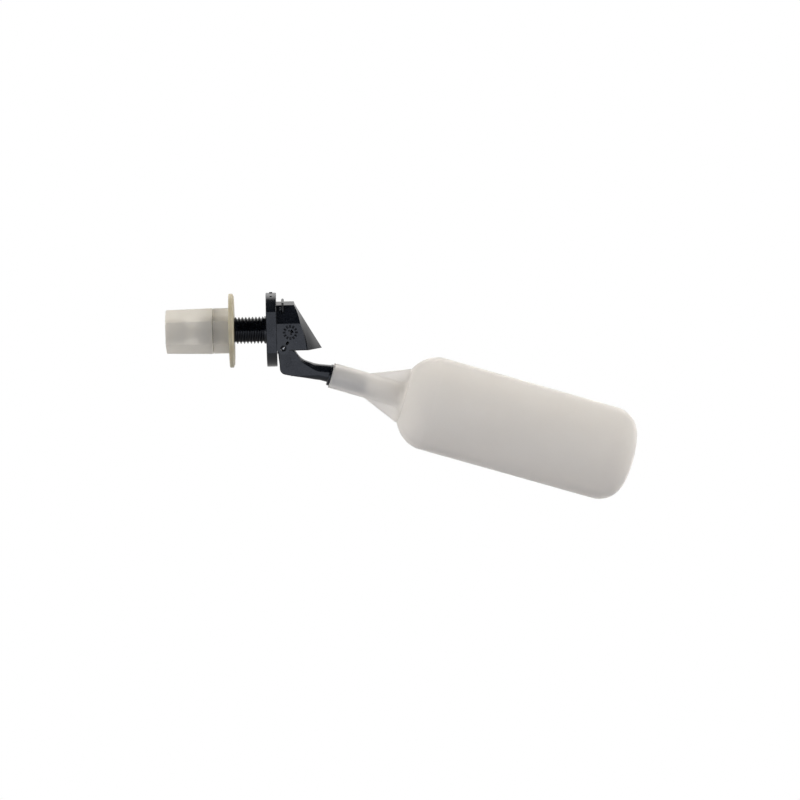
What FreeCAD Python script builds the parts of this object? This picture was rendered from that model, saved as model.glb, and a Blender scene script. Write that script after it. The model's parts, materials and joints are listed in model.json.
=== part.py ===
import FreeCAD, Part
import math
import os

# Miniature float valve for a water tank. Millimetres, +Z up.
# The origin is on the stem axis, in the plane of the flange face that clamps the tank wall.
# +X runs into the tank, along the stem axis, and the float hangs below that axis.

V = FreeCAD.Vector

# ---- driving dimensions -------------------------------------------------------------
PITCH = 1.5                  # stem thread, M12 x 1.5
CREST_R = 6.0
ROOT_R = 5.08
STEM_END = -28.2             # X of the inlet end of the stem
INTERNAL_MINOR_R = 5.3       # of the locknut's and connector's threads
FLANGE_R = 16.4
FLANGE_T = 4.6
FLANGE_FLAT = 13.7           # half width over the two wrench flats

WATERWAY_R = 2.5             # bore of the stem
NOZZLE_BORE_R = 3.3
NOZZLE_START = -9.0
NOZZLE_SHOULDER = -3.0
NOZZLE_RIM = -2.2
ORIFICE_R = 1.0
GUIDE_R = 3.5                # bore that guides the plunger

PIVOT_X = 7.35
PIVOT_Z = -7.35
PIN_R = 0.8
SWING = 20.0                 # degrees from hanging float to closed valve
FINGER_L = -PIVOT_Z / math.cos(math.radians(SWING / 2))
FINGER_R = 1.0
TIP_X = PIVOT_X + FINGER_L * math.sin(math.radians(SWING / 2))
TRAVEL = 2 * (TIP_X - PIVOT_X)
SEAL_FACE = NOZZLE_RIM + TRAVEL + 0.05
SEAL_R = 2.5
SEAL_T = 2.0
PLUNGER_R = GUIDE_R - 0.1
PLUNGER_FRONT = SEAL_FACE + 0.2
PLUNGER_BACK = TIP_X + 3.2

HOOD_W = 11.1                # half width over the cheeks
HOOD_WALL = 1.4
HOOD_TOP = 11.65
HOOD_BOTTOM = -8.45
HOOD_NOSE_TOP = 12.5         # X of the ridge at the hood's top and bottom
HOOD_NOSE_BOTTOM = 24.4
CREASE_TOP = 12.4            # X of the cheek's front edge, top, middle and bottom
CREASE_MID = 16.2
CREASE_MID_Z = 1.3
CREASE_BOTTOM = 17.95
HOOD_DRAFT_Z = 3.5           # above this the cheeks lean inwards
HOOD_DRAFT = 0.8             # by this much at the top
HOOD_BEVEL = 0.45            # along the cheeks' front and bottom edges
EAR_R = 2.65
PIN_SINK_R = 1.35            # countersink of the pin's hole
HOOD_WIRE_X = 7.4            # staple over the hood that pins it to the flange's two lugs
HOOD_WIRE_R = 0.6
HOOD_WIRE_LEG_Y = 11.3
HOOD_WIRE_CROWN_Z = 12.35
HOOD_WIRE_FOOT_Y = 8.3
HOOD_WIRE_FOOT_Z = 8.7
HOOD_WIRE_BEND = 1.0

NUT_CORNERS = 20.1           # locknut, across corners
NUT_X0 = -23.4
NUT_X1 = -16.45
WASHER_R = 16.4
WASHER_X0 = -16.4
WASHER_T = 2.2
WASHER_BEVEL = 0.6           # along X on the wall side, and twice that across

CONN_X0 = -44.3              # tube connector
CONN_X1 = -23.6
CONN_CORNERS_MOUTH = 19.3
CONN_CORNERS_BASE = 20.3
GASKET_T = 1.5
SCREEN_RIM_T = 0.5
TUBE_SOCKET_R = 3.25
SOCKET_X0 = -36.2
SOCKET_X1 = -32.2
SEAL_CAVITY_R = 5.2

ARM_W = 3.75                 # half thickness of the lever arm
BAR_X = 9.9                  # where the arm's plate turns into a bar with rounder and rounder corners
FLOAT_PITCH = -17.2          # degrees, slope of the float's own axis
NECK_X = 28.68               # where the neck of the float starts
NECK_Z = -21.04
NECK_START = -0.4            # along the float's axis from there
NECK_R = 5.7
NECK_BORE_R = 4.1
SPIGOT_R = 4.06
SPIGOT_L = 15.5
COLLAR_R = 4.8
COLLAR_T = 1.2
FLOAT_R = 21.1
FLOAT_L = 139.8
SHOULDER_S = 33.4            # along the float's axis
FLOAT_WALL = 1.2
WEB_T = 2.2


# ---- helpers ------------------------------------------------------------------------
def x_cylinder(radius, x0, x1):
    return Part.makeCylinder(radius, x1 - x0, V(x0, 0, 0), V(1, 0, 0))


def x_ring(outer, inner, x0, x1):
    return x_cylinder(outer, x0, x1).cut(x_cylinder(inner, x0 - 1, x1 + 1))


def y_cylinder(radius, y0, y1, x, z):
    return Part.makeCylinder(radius, y1 - y0, V(x, y0, z), V(0, 1, 0))


def revolve_x(points):
    """Solid of revolution about X from (x, radius) points, closed in order."""
    corners = [V(x, 0, r) for x, r in points]
    face = Part.Face(Part.makePolygon(corners + corners[:1]))
    return face.revolve(V(0, 0, 0), V(1, 0, 0), 360)


def prism_xz(wire, half_thickness):
    """Plate in the XZ plane, centred on Y = 0."""
    wire.translate(V(0, -half_thickness, 0))
    return Part.Face(wire).extrude(V(0, 2 * half_thickness, 0))


def arc(a, b, c):
    return Part.Arc(V(a[0], 0, a[1]), V(b[0], 0, b[1]), V(c[0], 0, c[1])).toShape()


def line(a, b):
    return Part.makeLine(V(a[0], 0, a[1]), V(b[0], 0, b[1]))


def helical_tool(profile, first_turn, turns):
    """Solid swept along a right-hand helix about X; profile holds (radius, x offset)."""
    one_turn = Part.makeHelix(PITCH, PITCH, CREST_R).Edges[0]
    edges = []
    for turn in range(turns):
        edge = one_turn.copy()
        edge.translate(V(0, 0, PITCH * turn))
        edges.append(edge)
    corners = [V(r, 0, offset) for r, offset in profile]
    sweep = Part.BRepOffsetAPI.MakePipeShell(Part.Wire(edges))
    sweep.setFrenetMode(True)
    sweep.add(Part.makePolygon(corners + corners[:1]))
    sweep.build()
    sweep.makeSolid()
    tool = sweep.shape()
    tool.rotate(V(0, 0, 0), V(0, 1, 0), 90)
    tool.translate(V(PITCH * first_turn, 0, 0))
    return tool


def external_groove(first_turn, turns):
    """Tool that leaves a 60 degree external thread on a shaft of the crest radius."""
    slope = math.tan(math.radians(30))
    root_half = 0.125
    outer = CREST_R + 0.1
    half = root_half + (outer - ROOT_R) * slope
    return helical_tool([(outer, -half), (ROOT_R, -root_half), (ROOT_R, root_half), (outer, half)],
                        first_turn, turns)


def internal_groove(first_turn, turns):
    """Tool that leaves the matching internal thread, about 0.15 mm clear on each flank."""
    slope = math.tan(math.radians(30))
    outer = CREST_R + 0.12
    inner = INTERNAL_MINOR_R - 0.05
    outer_half = 0.19
    half = outer_half + (outer - inner) * slope
    return helical_tool([(outer, -outer_half), (inner, -half), (inner, half), (outer, outer_half)],
                        first_turn - 0.5, turns)


def hexagon(corners, x):
    """Hexagon across X, with a corner at the top and a flat facing -Y."""
    points = []
    for i in range(7):
        angle = math.radians(90 + 60 * i)
        points.append(V(x, corners / 2 * math.cos(angle), corners / 2 * math.sin(angle)))
    return Part.makePolygon(points)


def along_float(shape):
    """Puts a shape that was made along +X from the origin onto the float's axis."""
    shape.rotate(V(0, 0, 0), V(0, 1, 0), -FLOAT_PITCH)
    shape.translate(V(NECK_X, 0, NECK_Z))
    return shape


# ---- fixed pieces -------------------------------------------------------------------
def flange():
    disc = x_cylinder(FLANGE_R, 0, FLANGE_T)
    width = Part.makeBox(FLANGE_T, 2 * FLANGE_FLAT, 2 * FLANGE_R + 2, V(0, -FLANGE_FLAT, -FLANGE_R - 1))
    disc = disc.common(width)
    outline = [e for e in disc.Edges if abs(e.BoundBox.XMax - e.BoundBox.XMin) < 1e-6]
    disc = disc.makeFillet(0.3, outline)
    gate_scar = Part.makeCylinder(0.7, 0.5, V(FLANGE_T / 2, 0, FLANGE_R - 0.15))
    dimple = Part.makeCylinder(0.55, 1.0, V(FLANGE_T / 2, 0, FLANGE_R - 0.5))
    dimple.rotate(V(0, 0, 0), V(1, 0, 0), 21.5)
    return disc.fuse(gate_scar).cut(dimple)


def threaded_stem():
    stem = x_cylinder(CREST_R, STEM_END, 0)
    tip = revolve_x([(STEM_END - 1, 0), (STEM_END - 1, CREST_R - 1.9), (STEM_END + 1.9, CREST_R + 1),
                     (1, CREST_R + 1), (1, 0)])
    turns = int(-STEM_END / PITCH) + 3
    stem = stem.cut(external_groove(2 - turns, turns)).common(tip)
    return stem.fuse(x_cylinder(CREST_R + 0.1, -0.8, 0))


def hood_lug(side):
    """Lug inside the hood that takes one foot of the staple."""
    y0, y1 = sorted((side * 7.3, side * 9.6))
    lug = Part.makeBox(4.9, y1 - y0, 2.6, V(FLANGE_T - 0.3, y0, HOOD_WIRE_FOOT_Z - 1.3))
    return lug.cut(y_cylinder(HOOD_WIRE_R + 0.05, y0 - 1, y1 + 1, HOOD_WIRE_X, HOOD_WIRE_FOOT_Z))


def valve_body():
    body = flange().multiFuse([threaded_stem(), hood_lug(-1), hood_lug(1)])
    body = body.cut(x_cylinder(WATERWAY_R, STEM_END - 1, NOZZLE_START + 1))
    body = body.cut(x_cylinder(NOZZLE_BORE_R, NOZZLE_START, NOZZLE_SHOULDER))
    return body.cut(x_cylinder(GUIDE_R, NOZZLE_SHOULDER, FLANGE_T + 1))


def nozzle_seat():
    outer = NOZZLE_BORE_R - 0.05
    groove_r = 2.3
    return revolve_x([(NOZZLE_START, 2.3), (NOZZLE_START, outer - 0.3), (NOZZLE_START + 0.3, outer),
                      (-6.9, outer), (-6.9, groove_r), (-5.5, groove_r), (-5.5, outer),
                      (NOZZLE_SHOULDER - 0.05, outer), (NOZZLE_SHOULDER - 0.05, 2.5), (NOZZLE_RIM, 1.6),
                      (NOZZLE_RIM, ORIFICE_R), (-6.5, ORIFICE_R)])


def nozzle_o_ring():
    return Part.makeTorus(2.8, 0.49, V(-6.2, 0, 0), V(1, 0, 0))


def inlet_screen():
    rim = x_ring(5.0, 2.0, STEM_END - SCREEN_RIM_T, STEM_END)
    thimble = x_ring(WATERWAY_R - 0.1, 2.0, STEM_END - 0.1, -21.5)
    end = x_cylinder(WATERWAY_R - 0.1, -21.9, -21.5)
    screen = rim.fuse(thimble).fuse(end)
    for row in range(4):
        for i in range(6):
            hole = Part.makeCylinder(0.4, 4, V(-26.8 + 1.3 * row, 0, 0), V(0, 0, 1))
            hole.rotate(V(0, 0, 0), V(1, 0, 0), 60 * i + 30 * (row % 2))
            screen = screen.cut(hole)
    for i in range(6):
        angle = math.radians(60 * i)
        y, z = 1.3 * math.cos(angle), 1.3 * math.sin(angle)
        screen = screen.cut(Part.makeCylinder(0.35, 3, V(-23, y, z), V(1, 0, 0)))
    return screen


def stem_gasket():
    return x_ring(5.15, 2.9, STEM_END - SCREEN_RIM_T - GASKET_T, STEM_END - SCREEN_RIM_T)


# ---- splash hood --------------------------------------------------------------------
def hood_form(half_width, top, bottom, back, inset, nose_inset):
    """Box with a ploughshare front: a straight ridge in the middle and curved cheek edges."""
    def ridge_x(z):
        share = (HOOD_TOP - z) / (HOOD_TOP - HOOD_BOTTOM)
        return HOOD_NOSE_TOP + share * (HOOD_NOSE_BOTTOM - HOOD_NOSE_TOP) - nose_inset

    crease = arc((CREASE_TOP, HOOD_TOP), (CREASE_MID, CREASE_MID_Z), (CREASE_BOTTOM, HOOD_BOTTOM)).Curve
    centre = crease.Center
    radius = crease.Radius

    def crease_x(z):
        return centre.x + math.sqrt(radius ** 2 - (z - centre.z) ** 2) - inset

    middle = (top + bottom) / 2
    ridge = Part.makeLine(V(ridge_x(bottom), 0, bottom), V(ridge_x(top), 0, top))
    faces = []
    floor, roof = [], []
    for z, loop in ((bottom, floor), (top, roof)):
        corners = [(back, -half_width), (crease_x(z), -half_width), (ridge_x(z), 0),
                   (crease_x(z), half_width), (back, half_width)]
        loop.extend(V(x, y, z) for x, y in corners)
        faces.append(Part.Face(Part.makePolygon(loop + loop[:1])))
    faces.append(Part.Face(Part.makePolygon([floor[0], floor[4], roof[4], roof[0], floor[0]])))
    for side in (-half_width, half_width):
        edge = Part.Arc(V(crease_x(bottom), side, bottom), V(crease_x(middle), side, middle),
                        V(crease_x(top), side, top)).toShape()
        low, high = V(back, side, bottom), V(back, side, top)
        outline = [Part.makeLine(low, V(crease_x(bottom), side, bottom)), edge,
                   Part.makeLine(V(crease_x(top), side, top), high), Part.makeLine(high, low)]
        faces.append(Part.Face(Part.Wire(outline)))
        faces.append(Part.makeRuledSurface(edge, ridge))
    shell = Part.makeShell(faces)
    shell.sewShape()
    form = Part.makeSolid(shell)
    if form.Volume < 0:
        form.reverse()
    return form


def cheek_draft(side):
    """Wedge taken off a cheek so that its upper part leans inwards."""
    profile = [(HOOD_W, HOOD_DRAFT_Z), (HOOD_W - HOOD_DRAFT, HOOD_TOP), (HOOD_W - HOOD_DRAFT, HOOD_TOP + 1),
               (HOOD_W + 1, HOOD_TOP + 1), (HOOD_W + 1, HOOD_DRAFT_Z)]
    points = [V(FLANGE_T - 1, side * y, z) for y, z in profile]
    return Part.Face(Part.makePolygon(points + points[:1])).extrude(V(HOOD_NOSE_BOTTOM, 0, 0))


def pin_sink(side):
    """Round pocket with a sloping floor around the pin's end."""
    profile = [(HOOD_W + 1, 0), (HOOD_W + 1, PIN_SINK_R), (HOOD_W - 0.6, PIN_SINK_R), (HOOD_W - 1.0, PIN_R),
               (HOOD_W - 1.0, 0)]
    points = [V(r, side * y, 0) for y, r in profile]
    sink = Part.Face(Part.makePolygon(points + points[:1])).revolve(V(0, 0, 0), V(0, 1, 0), 360)
    sink.translate(V(PIVOT_X, 0, PIVOT_Z))
    return sink


def bottom_bevel(side):
    """Wedge taken off the bottom edge of a cheek."""
    profile = [(HOOD_W + 0.1, HOOD_BOTTOM - 0.1), (HOOD_W + 0.1, HOOD_BOTTOM + HOOD_BEVEL),
               (HOOD_W, HOOD_BOTTOM + HOOD_BEVEL), (HOOD_W - HOOD_BEVEL, HOOD_BOTTOM),
               (HOOD_W - HOOD_BEVEL, HOOD_BOTTOM - 0.1)]
    points = [V(FLANGE_T - 1, side * y, z) for y, z in profile]
    return Part.Face(Part.makePolygon(points + points[:1])).extrude(V(CREASE_BOTTOM - FLANGE_T + 1, 0, 0))


def splash_hood():
    hood = hood_form(HOOD_W, HOOD_TOP, HOOD_BOTTOM, FLANGE_T, 0, 0)
    blunter = hood_form(HOOD_W + 0.5, HOOD_TOP + 1, HOOD_BOTTOM - 1, FLANGE_T - 1, 0.7 + HOOD_BEVEL, -11.5)
    hood = hood.common(blunter).cut([bottom_bevel(-1), bottom_bevel(1)])
    cavity = hood_form(HOOD_W - HOOD_WALL, HOOD_TOP - HOOD_WALL, HOOD_BOTTOM - 2, FLANGE_T - 1,
                       HOOD_WALL, 1.9)
    hood = hood.cut(cavity)
    for side in (-1, 1):
        y0, y1 = sorted((side * HOOD_W, side * (HOOD_W - HOOD_WALL)))
        hood = hood.cut(cheek_draft(side))
        hood = hood.fuse(y_cylinder(EAR_R, y0, y1, PIVOT_X, PIVOT_Z))
        hood = hood.cut(pin_sink(side))
        hood = hood.cut(pin_slot(y0 - 1, y1 + 1))
    hood = hood.cut(y_cylinder(PIN_R + 0.02, -HOOD_W - 1, HOOD_W + 1, PIVOT_X, PIVOT_Z))
    foot_hole = y_cylinder(HOOD_WIRE_R + 0.05, -HOOD_W - 1, HOOD_W + 1, HOOD_WIRE_X, HOOD_WIRE_FOOT_Z)
    return hood.cut([foot_hole, spring_slot(-1), spring_slot(1), date_dial()]).removeSplitter()


def pin_slot(y0, y1):
    """Slit from the pin hole that lets the ear spring open for the pin."""
    slit = Part.makeBox(3.0, y1 - y0, 1.0, V(0, y0, -0.5))
    end = y_cylinder(0.72, y0, y1, 3.0, 0)
    slit = slit.fuse(end)
    slit.rotate(V(0, 0, 0), V(0, 1, 0), -51.5)
    slit.translate(V(PIVOT_X, 0, PIVOT_Z))
    return slit


def spring_slot(side):
    """Slot beside each leg of the staple, for a tool that pulls the leg off."""
    y0, y1 = sorted((side * (HOOD_W + 1), side * (HOOD_W - HOOD_WALL - HOOD_DRAFT)))
    return Part.makeBox(1.5, y1 - y0, 1.6, V(HOOD_WIRE_X - 1.5, y0, 9.2))


def date_dial():
    """Shallow ring of rounded ticks around a plain pointer, on one cheek."""
    marks = []
    for i in range(12):
        tick = Part.makeCylinder(0.45, 1.25, V(2.05, 0.2 - HOOD_W, 0), V(1, 0, 0))
        tick.rotate(V(0, 0, 0), V(0, 1, 0), 30 * i)
        marks.append(tick)
    pointer = Part.makeCylinder(0.45, 2.4, V(-1.2, 0.2 - HOOD_W, 0), V(1, 0, 0))
    pointer.rotate(V(0, 0, 0), V(0, 1, 0), 60)
    head = Part.makeCone(0.95, 0.25, 1.3, V(-1.3, -HOOD_W, 0), V(1, 0, 0))
    head.rotate(V(0, 0, 0), V(0, 1, 0), 150)
    marks.extend([pointer, head])
    dial = marks[0].multiFuse(marks[1:])
    dial.translate(V(10.55, 0, -0.35))
    return dial


def hood_wire():
    """Staple over the hood: two legs on the cheeks with feet turned in through them."""
    bend = HOOD_WIRE_BEND
    slope = bend * math.sqrt(0.5)
    x, leg, crown, foot = HOOD_WIRE_X, HOOD_WIRE_LEG_Y, HOOD_WIRE_CROWN_Z, HOOD_WIRE_FOOT_Z

    def side_path(side):
        start, knee = V(x, side * HOOD_WIRE_FOOT_Y, foot), V(x, side * (leg - bend), foot)
        low, high = V(x, side * leg, foot + bend), V(x, side * leg, crown - bend)
        corner = V(x, side * (leg - bend), crown)
        knee_mid = V(x, side * (leg - bend + slope), foot + bend - slope)
        corner_mid = V(x, side * (leg - bend + slope), crown - bend + slope)
        return [Part.makeLine(start, knee), Part.Arc(knee, knee_mid, low).toShape(),
                Part.makeLine(low, high), Part.Arc(high, corner_mid, corner).toShape()]

    front, back = side_path(-1), side_path(1)
    top = Part.makeLine(V(x, bend - leg, crown), V(x, leg - bend, crown))
    path = Part.Wire(Part.__sortEdges__(front + [top] + back))
    section = Part.Wire(Part.makeCircle(HOOD_WIRE_R, V(x, -HOOD_WIRE_FOOT_Y, foot), V(0, 1, 0)))
    return path.makePipeShell([section], True, False)


def pivot_pin():
    half = HOOD_W - 0.45
    pin = y_cylinder(PIN_R, -half, half, PIVOT_X, PIVOT_Z)
    rims = [e for e in pin.Edges if e.BoundBox.YLength < 0.01]
    return pin.makeFillet(0.7, rims)


def pivot_spacer(side):
    y0, y1 = sorted((side * (ARM_W + 0.1), side * (HOOD_W - HOOD_WALL - 0.1)))
    sleeve = y_cylinder(2.0, y0, y1, PIVOT_X, PIVOT_Z)
    return sleeve.cut(y_cylinder(PIN_R + 0.03, y0 - 1, y1 + 1, PIVOT_X, PIVOT_Z))


# ---- plunger ------------------------------------------------------------------------
def plunger():
    shaft = x_cylinder(PLUNGER_R, PLUNGER_FRONT, PLUNGER_BACK)
    shaft = shaft.cut(x_cylinder(SEAL_R + 0.03, PLUNGER_FRONT - 1, SEAL_FACE + SEAL_T + 0.02))
    for i in range(4):
        angle = math.radians(45 + 90 * i)
        flute = x_cylinder(0.9, PLUNGER_FRONT - 1, PLUNGER_BACK + 1)
        flute.translate(V(0, 3.6 * math.cos(angle), 3.6 * math.sin(angle)))
        shaft = shaft.cut(flute)
    gap = FINGER_R + 0.15
    mouth = gap + 0.8
    half = [(gap, 1.4), (gap, -0.3), (mouth, -PLUNGER_R - 0.1)]
    corners = [V(TIP_X + x, 0, z) for x, z in half] + [V(TIP_X - x, 0, z) for x, z in reversed(half)]
    return shaft.cut(prism_xz(Part.makePolygon(corners + corners[:1]), 1.7))


def seal_disc():
    return x_cylinder(SEAL_R, SEAL_FACE, SEAL_FACE + SEAL_T)


# ---- lever arm and float ------------------------------------------------------------
def elbow_plate():
    """Crank from the pivot down to the elbow, as a plate with rounded edges."""
    outline = [line((5.6, -8.6), (4.95, -10.3)), line((4.95, -10.3), (5.5, -15.6)),
               line((5.5, -15.6), (5.55, -17.2)), arc((5.55, -17.2), (6.2, -18.85), (7.9, -19.85)),
               line((7.9, -19.85), (13.3, -20.95)), line((13.3, -20.95), (13.3, -10.6)),
               line((13.3, -10.6), (9.4, -6.9)), line((9.4, -6.9), (5.6, -8.6))]
    plate = prism_xz(Part.Wire(outline), ARM_W)
    rim = [e for e in plate.Edges if e.BoundBox.YLength < 0.01 and e.BoundBox.ZMax < -8.0]
    plate = plate.makeFillet(0.4, rim)
    return plate.common(Part.makeBox(BAR_X + 0.2, 20, 30, V(0, -10, -28)))


def rounded_section(x, z_bottom, z_top, half_width, corner):
    """Rectangle across X with round corners."""
    z0, z1, y1 = z_bottom, z_top, half_width
    s = corner * (1 - math.sqrt(0.5))
    edges = []
    for sy, sz, z in ((1, 1, z1), (-1, 1, z1), (-1, -1, z0), (1, -1, z0)):
        on_side, on_face = V(x, sy * y1, z - sz * corner), V(x, sy * (y1 - corner), z)
        middle = V(x, sy * (y1 - s), z - sz * s)
        start, end = (on_side, on_face) if sy * sz > 0 else (on_face, on_side)
        edges.append(Part.Arc(start, middle, end).toShape())
    loop = []
    for i, edge in enumerate(edges):
        following = edges[(i + 1) % 4]
        loop.append(edge)
        loop.append(Part.makeLine(edge.lastVertex(True).Point, following.firstVertex(True).Point))
    return Part.Wire(loop)


def bar():
    """Arm from the elbow to the float's collar, flat-sided at first and almost round at its end."""
    side = ARM_W - 0.06
    stations = [(BAR_X - 0.6, -20.08, -7.0, side, 0.45), (11.4, -20.56, -8.86, side, 0.5),
                (13.3, -20.93, -10.68, side, 0.65), (14.7, -21.17, -12.5, 3.66, 0.9),
                (16.2, -21.47, -13.67, 3.62, 1.3), (18.5, -21.97, -14.58, 3.57, 1.95),
                (21.0, -22.52, -15.36, 3.5, 2.75), (23.0, -22.85, -15.76, 3.45, 3.1)]
    crank = Part.makeLoft([rounded_section(*station) for station in stations], True, False)
    in_collar = along_float(rounded_section(NECK_START - 0.6 * COLLAR_T, -3.35, 4.5, 3.5, 3.2))
    tail = Part.makeLoft([rounded_section(*stations[-1]), in_collar], True, True)
    return crank.fuse(tail)


def finger():
    """Upright finger that reaches into the plunger's cross slot."""
    lean = math.radians(SWING / 2)
    across = V(math.cos(lean), 0, -math.sin(lean))
    pivot = V(PIVOT_X, -1.5, PIVOT_Z)
    tip = V(TIP_X, -1.5, 0)
    across = across * FINGER_R
    corners = [pivot - across, pivot + across, tip + across, tip - across]
    blade = Part.Face(Part.makePolygon(corners + corners[:1])).extrude(V(0, 3, 0))
    return blade.fuse(y_cylinder(FINGER_R, -1.5, 1.5, TIP_X, 0))


def spigot():
    """Collar that the float's neck butts on, and the barbed spigot inside the neck."""
    collar = x_cylinder(COLLAR_R, NECK_START - COLLAR_T, NECK_START)
    collar = collar.makeChamfer(0.2, collar.Edges)
    parts = [x_cylinder(SPIGOT_R - 0.35, NECK_START - 0.3 * COLLAR_T, SPIGOT_L)]
    for i in range(4):
        start = 1.2 + 3.6 * i
        parts.append(revolve_x([(start, 0), (start, SPIGOT_R), (start + 1.0, SPIGOT_R),
                                (start + 3.0, SPIGOT_R - 0.5), (start + 3.0, 0)]))
    return along_float(collar.multiFuse(parts))


def lever_arm():
    hub = y_cylinder(2.3, -ARM_W, ARM_W, PIVOT_X, PIVOT_Z)
    heel = Part.makeBox(2.2, 2 * ARM_W - 1.5, 1.5, V(FLANGE_T + 0.1, -ARM_W + 0.75, -10.4))
    arm = elbow_plate().multiFuse([bar(), hub, heel, finger(), spigot()])
    arm = arm.cut(y_cylinder(PIN_R + 0.05, -ARM_W - 1, ARM_W + 1, PIVOT_X, PIVOT_Z))
    ejector_ring = y_cylinder(1.9, -ARM_W - 1, -ARM_W + 0.12, 11.45, -15.65)
    ejector_ring = ejector_ring.cut(y_cylinder(1.6, -ARM_W - 2, -ARM_W + 1, 11.45, -15.65))
    gate_scar = Part.makeCylinder(0.5, 0.6, V(10.9, 0, -20.85))
    return arm.cut(ejector_ring).fuse(gate_scar).removeSplitter()


def float_outline(inset):
    """Half section of the float's body and neck, as edges from the neck to the far end."""
    neck = NECK_R - 0.05
    body = FLOAT_R - inset
    start = SHOULDER_S + inset
    corner = [(start, 12.2), (start + 4.1 - 0.3 * inset, 17.7 - 0.75 * inset), (45.2, body)]
    far = [(127.0, body), (134.3 - 0.65 * inset, 18.7 - 0.75 * inset), (137.9 - inset, 13.8)]
    dome = [(139.3 - inset, 7.0), (FLOAT_L - inset, 1.0)]
    if inset:
        lip = [(start, 0), (start, 12.2)]
        edges = [line(lip[0], lip[1])]
    else:
        mouth = NECK_START
        edges = [line((mouth, 0), (mouth, NECK_R - 0.3)), line((mouth, NECK_R - 0.3), (mouth + 0.4, NECK_R)),
                 line((mouth + 0.4, NECK_R), (2.6, neck)), line((2.6, neck), (start - 3.4, neck)),
                 arc((start - 3.4, neck), (start - 1.4, neck + 0.75), (start - 0.3, neck + 2.6)),
                 line((start - 0.3, neck + 2.6), corner[0])]
    edges.append(arc(corner[0], corner[1], corner[2]))
    edges.append(line(corner[2], far[0]))
    edges.append(arc(far[0], far[1], far[2]))
    edges.append(arc(far[2], dome[0], dome[1]))
    edges.append(line(dome[1], (dome[1][0], 0)))
    edges.append(line((dome[1][0], 0), (start if inset else NECK_START, 0)))
    return Part.Wire(edges)


def float_body():
    skin = Part.Face(float_outline(0)).revolve(V(0, 0, 0), V(1, 0, 0), 360)
    hollow = Part.Face(float_outline(FLOAT_WALL)).revolve(V(0, 0, 0), V(1, 0, 0), 360)
    webs = []
    for side in (-1, 1):
        loop = [V(16.4, 0, side * (NECK_R - 0.1)), V(SHOULDER_S - 0.6, 0, side * 12.3),
                V(SHOULDER_S + 0.9, 0, side * 12.3), V(SHOULDER_S + 0.9, 0, side * 4.5),
                V(16.4, 0, side * 4.5)]
        wire = Part.makePolygon(loop + loop[:1])
        webs.append(prism_xz(wire, WEB_T / 2))
    solid = skin.multiFuse(webs).cut(hollow)
    solid = solid.cut(x_cylinder(NECK_BORE_R, NECK_START - 1, SHOULDER_S + FLOAT_WALL + 1))
    return along_float(solid.removeSplitter())


# ---- wall washer, locknut and tube connector ----------------------------------------
def wall_washer():
    x0, x1, hole = WASHER_X0, WASHER_X0 + WASHER_T, CREST_R + 0.35
    return revolve_x([(x0, hole), (x0, WASHER_R - 0.25), (x0 + 0.25, WASHER_R),
                      (x1 - WASHER_BEVEL, WASHER_R), (x1, WASHER_R - 2 * WASHER_BEVEL), (x1, hole)])


def locknut():
    nut = Part.Face(hexagon(NUT_CORNERS, NUT_X0)).extrude(V(NUT_X1 - NUT_X0, 0, 0))
    corner = NUT_CORNERS / 2
    envelope = revolve_x([(NUT_X0, 0), (NUT_X0, corner - 0.4), (NUT_X0 + 0.3, corner + 0.05),
                          (NUT_X1 - 0.4, corner + 0.05), (NUT_X1, corner - 0.7), (NUT_X1, 0)])
    nut = nut.common(envelope).cut(x_cylinder(INTERNAL_MINOR_R, NUT_X0 - 1, NUT_X1 + 1))
    for x, way in ((NUT_X0, 1), (NUT_X1, -1)):
        mouth = revolve_x([(x - way, 0), (x - way, CREST_R + 1.3), (x + way * 1.2, INTERNAL_MINOR_R - 0.9),
                           (x + way * 1.2, 0)])
        nut = nut.cut(mouth)
    first = math.floor(NUT_X0 / PITCH) - 1
    turns = math.ceil((NUT_X1 - NUT_X0) / PITCH) + 4
    return nut.cut(internal_groove(first, turns))


def tube_connector():
    base_x = CONN_X1 - 1.0
    hexes = [hexagon(CONN_CORNERS_MOUTH, CONN_X0), hexagon(CONN_CORNERS_BASE, base_x + 0.1)]
    body = Part.makeLoft(hexes, True, True)
    corner = CONN_CORNERS_MOUTH / 2
    envelope = revolve_x([(CONN_X0, 0), (CONN_X0, corner - 0.5), (CONN_X0 + 0.45, corner + 0.1),
                          (CONN_X1, corner + 2), (CONN_X1, 0)])
    body = body.common(envelope)
    lip = x_cylinder(CONN_CORNERS_BASE / 2 - 0.05, base_x, CONN_X1)
    lip = lip.makeFillet(0.25, lip.Edges[:1])
    body = body.fuse(lip)
    thread_end = STEM_END - SCREEN_RIM_T - GASKET_T
    body = body.cut(x_cylinder(INTERNAL_MINOR_R, thread_end, CONN_X1 + 1))
    body = body.cut(revolve_x([(CONN_X1 + 1, 0), (CONN_X1 + 1, CREST_R + 1.4),
                               (CONN_X1 - 1.0, CREST_R - 0.6), (CONN_X1 - 1.0, 0)]))
    groove = internal_groove(math.floor(thread_end / PITCH) + 2, 8)
    body = body.cut(groove)
    body = body.cut(x_cylinder(WATERWAY_R, SOCKET_X1 - 1, thread_end + 1))
    body = body.cut(x_cylinder(TUBE_SOCKET_R, SOCKET_X0 - 1, SOCKET_X1))
    return body.cut(x_cylinder(SEAL_CAVITY_R, CONN_X0 - 1, SOCKET_X0))


def tube_o_ring():
    return Part.makeTorus(4.1, 1.04, V(SOCKET_X0 - 1.06, 0, 0), V(1, 0, 0))


def spacer_ring():
    x1 = SOCKET_X0 - 2.15
    outer = SEAL_CAVITY_R - 0.05
    return revolve_x([(x1 - 1.3, 4.3), (x1 - 1.3, outer), (x1, outer), (x1, TUBE_SOCKET_R + 0.05),
                      (x1 - 0.7, TUBE_SOCKET_R + 0.05)])


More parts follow.
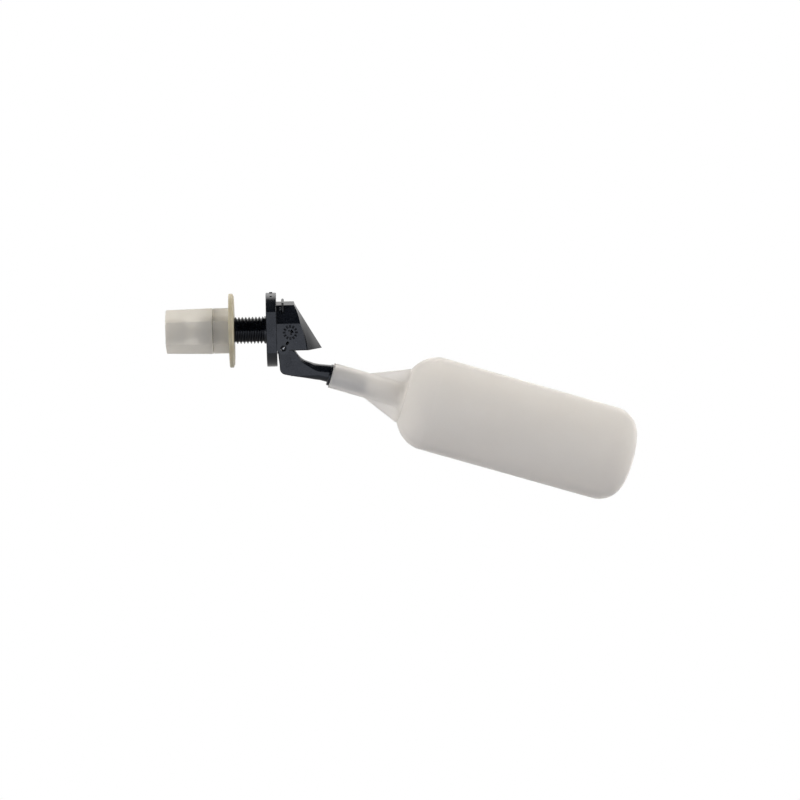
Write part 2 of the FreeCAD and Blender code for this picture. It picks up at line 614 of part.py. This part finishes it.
def grab_ring():
    """Toothed ring that grips the tube, dished towards the socket."""
    x1 = SOCKET_X0 - 3.5
    outer = SEAL_CAVITY_R - 0.05
    ring = revolve_x([(x1 - 0.3, outer), (x1, outer), (x1, 4.3), (x1 + 0.45, 3.05), (x1 + 0.15, 3.05),
                      (x1 - 0.3, 4.3)])
    for i in range(12):
        notch = Part.makeBox(3, 0.45, 1.2, V(x1 - 1.5, -0.225, 2.9))
        notch.rotate(V(0, 0, 0), V(1, 0, 0), 30 * i)
        ring = ring.cut(notch)
    return ring


def grab_retainer():
    """Ring pressed into the connector's mouth, which guides the tube and holds the grab ring."""
    x1 = SOCKET_X0 - 3.85
    outer = SEAL_CAVITY_R - 0.02
    inner = TUBE_SOCKET_R + 0.15
    return revolve_x([(CONN_X0 + 0.3, inner + 0.8), (CONN_X0 + 0.3, outer), (x1, outer), (x1, 4.4),
                      (x1 - 0.9, inner), (CONN_X0 + 1.1, inner)])


NODES = {
    "valve_body": valve_body,
    "nozzle_seat": nozzle_seat,
    "nozzle_o_ring": nozzle_o_ring,
    "inlet_screen": inlet_screen,
    "stem_gasket": stem_gasket,
    "splash_hood": splash_hood,
    "hood_wire": hood_wire,
    "pivot_pin": pivot_pin,
    "pivot_spacer_front": lambda: pivot_spacer(-1),
    "pivot_spacer_back": lambda: pivot_spacer(1),
    "plunger": plunger,
    "seal_disc": seal_disc,
    "lever_arm": lever_arm,
    "float_body": float_body,
    "wall_washer": wall_washer,
    "locknut": locknut,
    "tube_connector": tube_connector,
    "tube_o_ring": tube_o_ring,
    "spacer_ring": spacer_ring,
    "grab_ring": grab_ring,
    "grab_retainer": grab_retainer,
}


def main():
    os.makedirs("parts", exist_ok=True)
    for name, make in NODES.items():
        shape = make()
        solids = shape.Solids
        if len(solids) == 1:
            shape = solids[0]
        print(name, "solids", len(solids), "valid", shape.isValid(), "volume", round(shape.Volume, 2))
        shape.exportStep(f"parts/{name}.step")


main()
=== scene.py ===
import json
import math
import bpy
from mathutils import Matrix, Vector


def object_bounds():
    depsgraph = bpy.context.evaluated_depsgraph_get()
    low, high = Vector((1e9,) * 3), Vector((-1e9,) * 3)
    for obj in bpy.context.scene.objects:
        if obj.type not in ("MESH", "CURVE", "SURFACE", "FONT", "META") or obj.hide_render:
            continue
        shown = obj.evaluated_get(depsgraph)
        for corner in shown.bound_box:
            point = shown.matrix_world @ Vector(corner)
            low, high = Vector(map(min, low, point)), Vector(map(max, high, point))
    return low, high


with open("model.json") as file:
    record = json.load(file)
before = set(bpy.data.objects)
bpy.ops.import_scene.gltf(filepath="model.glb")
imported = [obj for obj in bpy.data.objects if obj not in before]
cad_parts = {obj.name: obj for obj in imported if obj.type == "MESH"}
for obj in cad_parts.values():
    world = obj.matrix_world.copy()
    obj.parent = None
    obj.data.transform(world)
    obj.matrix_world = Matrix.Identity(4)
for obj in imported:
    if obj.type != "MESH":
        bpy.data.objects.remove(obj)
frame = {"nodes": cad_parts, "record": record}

CAD_LOW, CAD_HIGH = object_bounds()
NODES = frame["nodes"]

# ---- camera, light and floor --------------------------------------------------------
CAMERA_DISTANCE = 1.1
CAMERA_YAW = math.radians(-2.5)
CAMERA_PITCH = math.radians(6.9)
CAMERA_ROLL = math.radians(1.05)
CAMERA_LENS_MM = 111.0
AIM_FROM_CENTRE = Vector((-0.0014, 0.0, -0.0014))

# Strengths of the studio's light.
WALL_LIGHT = 1.1             # wall behind the object
SKY_LIGHT = 2.0              # the same wall higher up
BOX_LIGHT = 4.2              # softboxes to the left and right of the camera
ROOM_LIGHT = 0.03            # everywhere
LOW_WALL_SHARE = 0.35        # of the wall's light, close to the horizon

# Directions are unit vectors: X to the side, Y away from the camera, Z up. Light fades over each of these.
WALL_DEPTH = (0.0, 0.35)
WALL_TO_SKY = (0.35, 0.65)
SKY_END = (0.82, 0.93)
HORIZON = (0.08, 0.28)
BOX_SIDE = (0.55, 0.75)
BOX_DEPTH = (-0.05, 0.25)
BOX_TOP = (0.60, 0.85)

# The floor, in metres, and the strength of what it gives back.
FLOOR_DROP = 0.11            # from the lowest point of the float to the floor
FLOOR_RADIUS = 6.0
FLOOR_SIDES = 96
UNDER_LIGHT = 0.48           # straight under the object
FRONT_LIGHT = 1.30
SIDE_LIGHT = 0.25            # in front, but off to the sides
BACK_LIGHT = 1.3
UNDER_TO_AROUND = (0.08, 0.70)
FRONT_TO_BACK = (-0.25, 0.15)
FRONT_TO_SIDE = (0.25, 0.45)     # sideways share of the way from the middle
SHARE_SOFTENING = 0.05           # keeps that share smooth at the middle itself
TINT_BAND = (-0.3, 0.1)
FRONT_TINT = (0.94, 1.0, 1.14)
BACK_TINT = (1.0, 0.99, 0.98)


def make_camera():
    aim = (CAD_LOW + CAD_HIGH) / 2 + AIM_FROM_CENTRE
    aim.y = 0.0
    flat = math.cos(CAMERA_PITCH)
    back = Vector((math.sin(CAMERA_YAW) * flat, -math.cos(CAMERA_YAW) * flat, math.sin(CAMERA_PITCH)))
    level = Vector((math.cos(CAMERA_YAW), math.sin(CAMERA_YAW), 0.0))
    upright = back.cross(level)
    right = math.cos(CAMERA_ROLL) * level - math.sin(CAMERA_ROLL) * upright
    up = math.sin(CAMERA_ROLL) * level + math.cos(CAMERA_ROLL) * upright
    data = bpy.data.cameras.new("camera")
    data.lens = CAMERA_LENS_MM
    data.sensor_width = 36.0
    data.clip_start = 0.05
    data.clip_end = 50.0
    camera = bpy.data.objects.new("camera", data)
    turn = Matrix((right, up, back)).transposed().to_4x4()
    camera.matrix_world = Matrix.Translation(aim + back * CAMERA_DISTANCE) @ turn
    bpy.context.scene.collection.objects.link(camera)
    bpy.context.scene.camera = camera


def make_world():
    """Studio: a bright wall behind the object, softboxes at the camera's sides, dim overhead and below.

    The camera itself sees plain white.
    """
    world = bpy.data.worlds.new("studio")
    bpy.context.scene.world = world
    world.use_nodes = True
    tree = Nodes(world.node_tree)
    direction = tree.add("ShaderNodeTexCoord").outputs["Generated"]
    parts = tree.add("ShaderNodeSeparateXYZ", Vector=direction)
    side, depth, height = parts.outputs["X"], parts.outputs["Y"], parts.outputs["Z"]
    wall = tree.math("MULTIPLY", tree.ramp(depth, *WALL_DEPTH, 0.0, 1.0),
                     tree.ramp(height, *SKY_END, 1.0, 0.0))
    wall = tree.math("MULTIPLY", wall, tree.ramp(height, *WALL_TO_SKY, WALL_LIGHT, SKY_LIGHT))
    wall = tree.math("MULTIPLY", wall, tree.ramp(height, *HORIZON, LOW_WALL_SHARE, 1.0))
    boxes = tree.math("MULTIPLY", tree.ramp(tree.math("ABSOLUTE", side), *BOX_SIDE, 0.0, BOX_LIGHT),
                      tree.ramp(depth, *BOX_DEPTH, 1.0, 0.0))
    boxes = tree.math("MULTIPLY", boxes, tree.ramp(height, *BOX_TOP, 1.0, 0.0))
    boxes = tree.math("MULTIPLY", boxes, tree.ramp(height, *HORIZON, 0.0, 1.0))
    strength = tree.math("ADD", tree.math("ADD", wall, boxes), ROOM_LIGHT)
    lit = tree.add("ShaderNodeBackground", Color=(1.0, 0.995, 0.985, 1.0), Strength=strength)
    seen = tree.add("ShaderNodeBackground", Color=(1.0, 1.0, 1.0, 1.0), Strength=1.0)
    tree.finish(tree.camera_only(seen.outputs[0], lit.outputs[0]), "World")


def make_floor():
    """Plain disc under the object: white to the camera, and uneven in the light that it gives the object."""
    data = bpy.data.meshes.new("floor")
    floor = bpy.data.objects.new("floor", data)
    z = CAD_LOW.z - FLOOR_DROP
    angles = [2 * math.pi * i / FLOOR_SIDES for i in range(FLOOR_SIDES)]
    ring = [(FLOOR_RADIUS * math.cos(angle), FLOOR_RADIUS * math.sin(angle), z) for angle in angles]
    data.from_pydata(ring, [], [tuple(range(FLOOR_SIDES))])
    bpy.context.scene.collection.objects.link(floor)
    tree = new_material("floor_white")
    place = tree.add("ShaderNodeTexCoord").outputs["Object"]
    parts = tree.add("ShaderNodeSeparateXYZ", Vector=place)
    away = tree.add("ShaderNodeCombineXYZ", X=parts.outputs["X"], Y=parts.outputs["Y"], Z=0.0)
    reach = tree.length(away.outputs[0])
    softened = tree.math("ADD", reach, SHARE_SOFTENING)
    aside = tree.math("DIVIDE", tree.math("ABSOLUTE", parts.outputs["X"]), softened)
    front = tree.ramp(aside, *FRONT_TO_SIDE, FRONT_LIGHT, SIDE_LIGHT)
    around = tree.mix_value(tree.ramp(parts.outputs["Y"], *FRONT_TO_BACK, 0.0, 1.0), front, BACK_LIGHT)
    shine = tree.mix_value(tree.ramp(reach, *UNDER_TO_AROUND, 0.0, 1.0), UNDER_LIGHT, around)
    tint = tree.mix(tree.ramp(parts.outputs["Y"], *TINT_BAND, 0.0, 1.0), FRONT_TINT, BACK_TINT)
    lit = tree.add("ShaderNodeEmission", Color=tint, Strength=shine)
    seen = tree.add("ShaderNodeEmission", Color=(1.0, 1.0, 1.0, 1.0), Strength=1.0)
    tree.finish(tree.camera_only(seen.outputs[0], lit.outputs[0]))
    data.materials.append(tree.material)


# ---- node helper --------------------------------------------------------------------
class Nodes:
    """Short way to write node trees."""

    def __init__(self, tree, material=None):
        self.tree = tree
        self.material = material
        tree.nodes.clear()

    def link(self, source, target):
        self.tree.links.new(source, target)

    def add(self, kind, **inputs):
        node = self.tree.nodes.new(kind)
        for name, value in inputs.items():
            socket = node.inputs[name.replace("_", " ")]
            if isinstance(value, bpy.types.NodeSocket):
                self.link(value, socket)
            else:
                socket.default_value = value
        return node

    def math(self, operation, a, b=0.0):
        node = self.tree.nodes.new("ShaderNodeMath")
        node.operation = operation
        for socket, value in zip(node.inputs, (a, b)):
            if isinstance(value, bpy.types.NodeSocket):
                self.link(value, socket)
            else:
                socket.default_value = value
        return node.outputs[0]

    def ramp(self, value, low, high, at_low, at_high):
        node = self.tree.nodes.new("ShaderNodeMapRange")
        node.interpolation_type = "SMOOTHSTEP"
        self.link(value, node.inputs["Value"])
        for name, number in (("From Min", low), ("From Max", high), ("To Min", at_low), ("To Max", at_high)):
            node.inputs[name].default_value = number
        return node.outputs["Result"]

    def mix(self, fac, a, b):
        node = self.tree.nodes.new("ShaderNodeMix")
        node.data_type = "RGBA"
        for name, value in (("Factor", fac), ("A", a), ("B", b)):
            socket = next(s for s in node.inputs if s.name == name and s.enabled)
            if isinstance(value, bpy.types.NodeSocket):
                self.link(value, socket)
            elif name == "Factor":
                socket.default_value = value
            else:
                socket.default_value = (*value, 1.0)
        return next(s for s in node.outputs if s.enabled)

    def mix_value(self, fac, a, b):
        node = self.tree.nodes.new("ShaderNodeMix")
        for name, value in (("Factor", fac), ("A", a), ("B", b)):
            socket = next(s for s in node.inputs if s.name == name and s.enabled)
            if isinstance(value, bpy.types.NodeSocket):
                self.link(value, socket)
            else:
                socket.default_value = value
        return next(s for s in node.outputs if s.enabled)

    def noise(self, scale, detail=3.0, rough=0.55, stretch=(1.0, 1.0, 1.0)):
        place = self.add("ShaderNodeTexCoord").outputs["Object"]
        mapping = self.add("ShaderNodeMapping", Vector=place, Scale=stretch)
        node = self.add("ShaderNodeTexNoise", Vector=mapping.outputs[0], Scale=scale, Detail=detail,
                        Roughness=rough)
        return node.outputs["Fac"]

    def bump(self, height, distance, strength=1.0, normal=None):
        node = self.add("ShaderNodeBump", Height=height, Distance=distance, Strength=strength)
        if normal is not None:
            self.link(normal, node.inputs["Normal"])
        return node.outputs["Normal"]

    def length(self, vector):
        node = self.tree.nodes.new("ShaderNodeVectorMath")
        node.operation = "LENGTH"
        self.link(vector, node.inputs[0])
        return node.outputs["Value"]

    def camera_only(self, seen, lit):
        """What the camera sees directly, and what lights the object."""
        path = self.add("ShaderNodeLightPath")
        mix = self.add("ShaderNodeMixShader", Fac=path.outputs["Is Camera Ray"])
        self.link(lit, mix.inputs[1])
        self.link(seen, mix.inputs[2])
        return mix.outputs[0]

    def finish(self, shader, kind="Material"):
        out = self.add("ShaderNodeOutput" + kind)
        self.link(shader, out.inputs["Surface"])


def new_material(name):
    material = bpy.data.materials.new(name)
    material.use_nodes = True
    return Nodes(material.node_tree, material)


# ---- materials ----------------------------------------------------------------------
SHOULDER_ROUNDING = 0.0016   # metres over which the float's inner corners look soft, in shading only
MILKY_IOR = 1.15             # low, because a rough surface stands in for a cloudy volume


def black_plastic(name, dark, light, roughness, grain_depth):
    """Black moulding with faint flow clouding, a fine spark texture and slightly dulled edges."""
    tree = new_material(name)
    cloud = tree.noise(140.0, 4.0)
    grain = tree.noise(2600.0, 2.0, 0.6)
    body = tree.mix(tree.ramp(cloud, 0.35, 0.7, 0.0, 1.0), dark, light)
    edge = tree.add("ShaderNodeNewGeometry").outputs["Pointiness"]
    rubbed = tree.math("MULTIPLY", tree.ramp(edge, 0.54, 0.66, 0.0, 0.5),
                       tree.ramp(grain, 0.35, 0.6, 0.3, 1.0))
    colour = tree.mix(rubbed, body, (0.018, 0.020, 0.025))
    gloss = tree.math("ADD", tree.ramp(cloud, 0.3, 0.7, -0.05, 0.06), tree.ramp(grain, 0.3, 0.7, -0.04, 0.05))
    shader = tree.add("ShaderNodeBsdfPrincipled", Base_Color=colour,
                      Roughness=tree.math("ADD", gloss, roughness), IOR=1.5,
                      Normal=tree.bump(grain, grain_depth, 0.5))
    tree.finish(shader.outputs[0])
    return tree.material


def natural_plastic():
    """Milky polypropylene: part of the light goes through, so that the dark stem inside shows."""
    tree = new_material("natural_plastic")
    cloud = tree.noise(90.0, 4.0)
    fine = tree.noise(1500.0, 3.0)
    colour = tree.mix(tree.ramp(cloud, 0.3, 0.7, 0.0, 1.0), (0.83, 0.79, 0.72), (0.88, 0.845, 0.775))
    shader = tree.add("ShaderNodeBsdfPrincipled", Base_Color=colour, IOR=MILKY_IOR,
                      Roughness=tree.ramp(fine, 0.3, 0.7, 0.72, 0.82), Normal=tree.bump(fine, 0.00003, 0.4))
    shader.inputs["Transmission Weight"].default_value = 0.45
    tree.finish(shader.outputs[0])
    return tree.material


def float_plastic():
    """Blow-moulded polyethylene: milky, letting some light through, with faint cloudy wall thickness."""
    tree = new_material("float_plastic")
    cloud = tree.noise(35.0, 5.0, 0.6)
    streak = tree.noise(60.0, 3.0, 0.5, (0.2, 1.0, 1.0))
    fine = tree.noise(1100.0, 3.0, 0.6)
    blend = tree.math("MULTIPLY", tree.ramp(cloud, 0.3, 0.7, 0.0, 1.0), tree.ramp(streak, 0.2, 0.8, 0.6, 1.0))
    colour = tree.mix(blend, (0.925, 0.895, 0.855), (0.95, 0.925, 0.89))
    rounded = tree.add("ShaderNodeBevel", Radius=SHOULDER_ROUNDING).outputs["Normal"]
    shader = tree.add("ShaderNodeBsdfPrincipled", Base_Color=colour, IOR=MILKY_IOR,
                      Roughness=tree.ramp(fine, 0.3, 0.7, 0.72, 0.82),
                      Normal=tree.bump(fine, 0.00004, 0.35, rounded))
    shader.inputs["Transmission Weight"].default_value = 0.5
    tree.finish(shader.outputs[0])
    return tree.material


def washer_plastic():
    """Cream moulding, slightly mottled."""
    tree = new_material("washer_plastic")
    cloud = tree.noise(220.0, 4.0)
    fine = tree.noise(1800.0, 3.0)
    colour = tree.mix(tree.ramp(cloud, 0.3, 0.7, 0.0, 1.0), (0.50, 0.44, 0.30), (0.58, 0.52, 0.38))
    shader = tree.add("ShaderNodeBsdfPrincipled", Base_Color=colour, IOR=1.48,
                      Roughness=tree.ramp(fine, 0.3, 0.7, 0.45, 0.6), Normal=tree.bump(fine, 0.00004, 0.5))
    shader.inputs["Subsurface Weight"].default_value = 0.2
    shader.inputs["Subsurface Radius"].default_value = (0.002, 0.0016, 0.001)
    shader.inputs["Subsurface Scale"].default_value = 1.0
    tree.finish(shader.outputs[0])
    return tree.material


def acetal():
    """White bearing plastic with faint machining rings."""
    tree = new_material("acetal")
    fine = tree.noise(1600.0, 3.0)
    rings = tree.noise(900.0, 1.0, 0.4, (6.0, 0.6, 0.6))
    colour = tree.mix(tree.ramp(rings, 0.3, 0.7, 0.0, 1.0), (0.78, 0.77, 0.74), (0.84, 0.83, 0.80))
    shader = tree.add("ShaderNodeBsdfPrincipled", Base_Color=colour, IOR=1.48,
                      Roughness=tree.ramp(fine, 0.3, 0.7, 0.3, 0.42), Normal=tree.bump(rings, 0.00003, 0.4))
    tree.finish(shader.outputs[0])
    return tree.material


def metal(name, dark, light):
    """Drawn metal with fine scratches and a slight stain."""
    tree = new_material(name)
    scratch = tree.noise(2500.0, 2.0, 0.5, (1.0, 0.08, 0.25))
    stain = tree.noise(400.0, 3.0)
    colour = tree.mix(tree.ramp(stain, 0.3, 0.7, 0.0, 1.0), dark, light)
    shader = tree.add("ShaderNodeBsdfPrincipled", Base_Color=colour, Metallic=1.0,
                      Roughness=tree.ramp(scratch, 0.3, 0.7, 0.2, 0.36),
                      Normal=tree.bump(scratch, 0.00001, 0.5))
    tree.finish(shader.outputs[0])
    return tree.material


def rubber():
    """Matt black rubber with a faint bloom."""
    tree = new_material("rubber")
    bloom = tree.noise(500.0, 4.0)
    fine = tree.noise(3000.0, 2.0)
    colour = tree.mix(tree.ramp(bloom, 0.4, 0.75, 0.0, 1.0), (0.018, 0.018, 0.019), (0.04, 0.04, 0.04))
    shader = tree.add("ShaderNodeBsdfPrincipled", Base_Color=colour,
                      Roughness=tree.ramp(fine, 0.3, 0.7, 0.6, 0.75), Normal=tree.bump(fine, 0.00003, 0.5))
    tree.finish(shader.outputs[0])
    return tree.material


def paint_nodes():
    """Gives each CAD node the finish of its slot, and the hood's staple a near-black steel colour: painted
    shade of the slot it lies in.
    """
    finishes = {
        "black_plastic": black_plastic("black_plastic", (0.003, 0.004, 0.007), (0.006, 0.0075, 0.011),
                                       0.19, 0.00001),
        "hood_plastic": black_plastic("hood_plastic", (0.002, 0.003, 0.006), (0.004, 0.0055, 0.009),
                                      0.14, 0.000005),
        "natural_plastic": natural_plastic(),
        "washer_plastic": washer_plastic(),
        "float_plastic": float_plastic(),
        "acetal": acetal(),
        "stainless": metal("stainless", (0.66, 0.655, 0.65), (0.76, 0.76, 0.76)),
        "rubber": rubber(),
    }
    slots = {entry["node"]: entry["material_slot"] for entry in frame["record"]["subparts"]}
    # Painted shade: the staple's steel is coloured near black to stand in for the shade of the slot it sits
    # in.
    wire_with_painted_shade = metal("wire_with_painted_shade", (0.035, 0.036, 0.038), (0.07, 0.07, 0.07))
    for name, node in NODES.items():
        node.data.materials.clear()
        node.data.materials.append(wire_with_painted_shade if name == "hood_wire" else finishes[slots[name]])


bpy.context.scene.view_settings.view_transform = "Standard"
make_camera()
make_world()
make_floor()
paint_nodes()
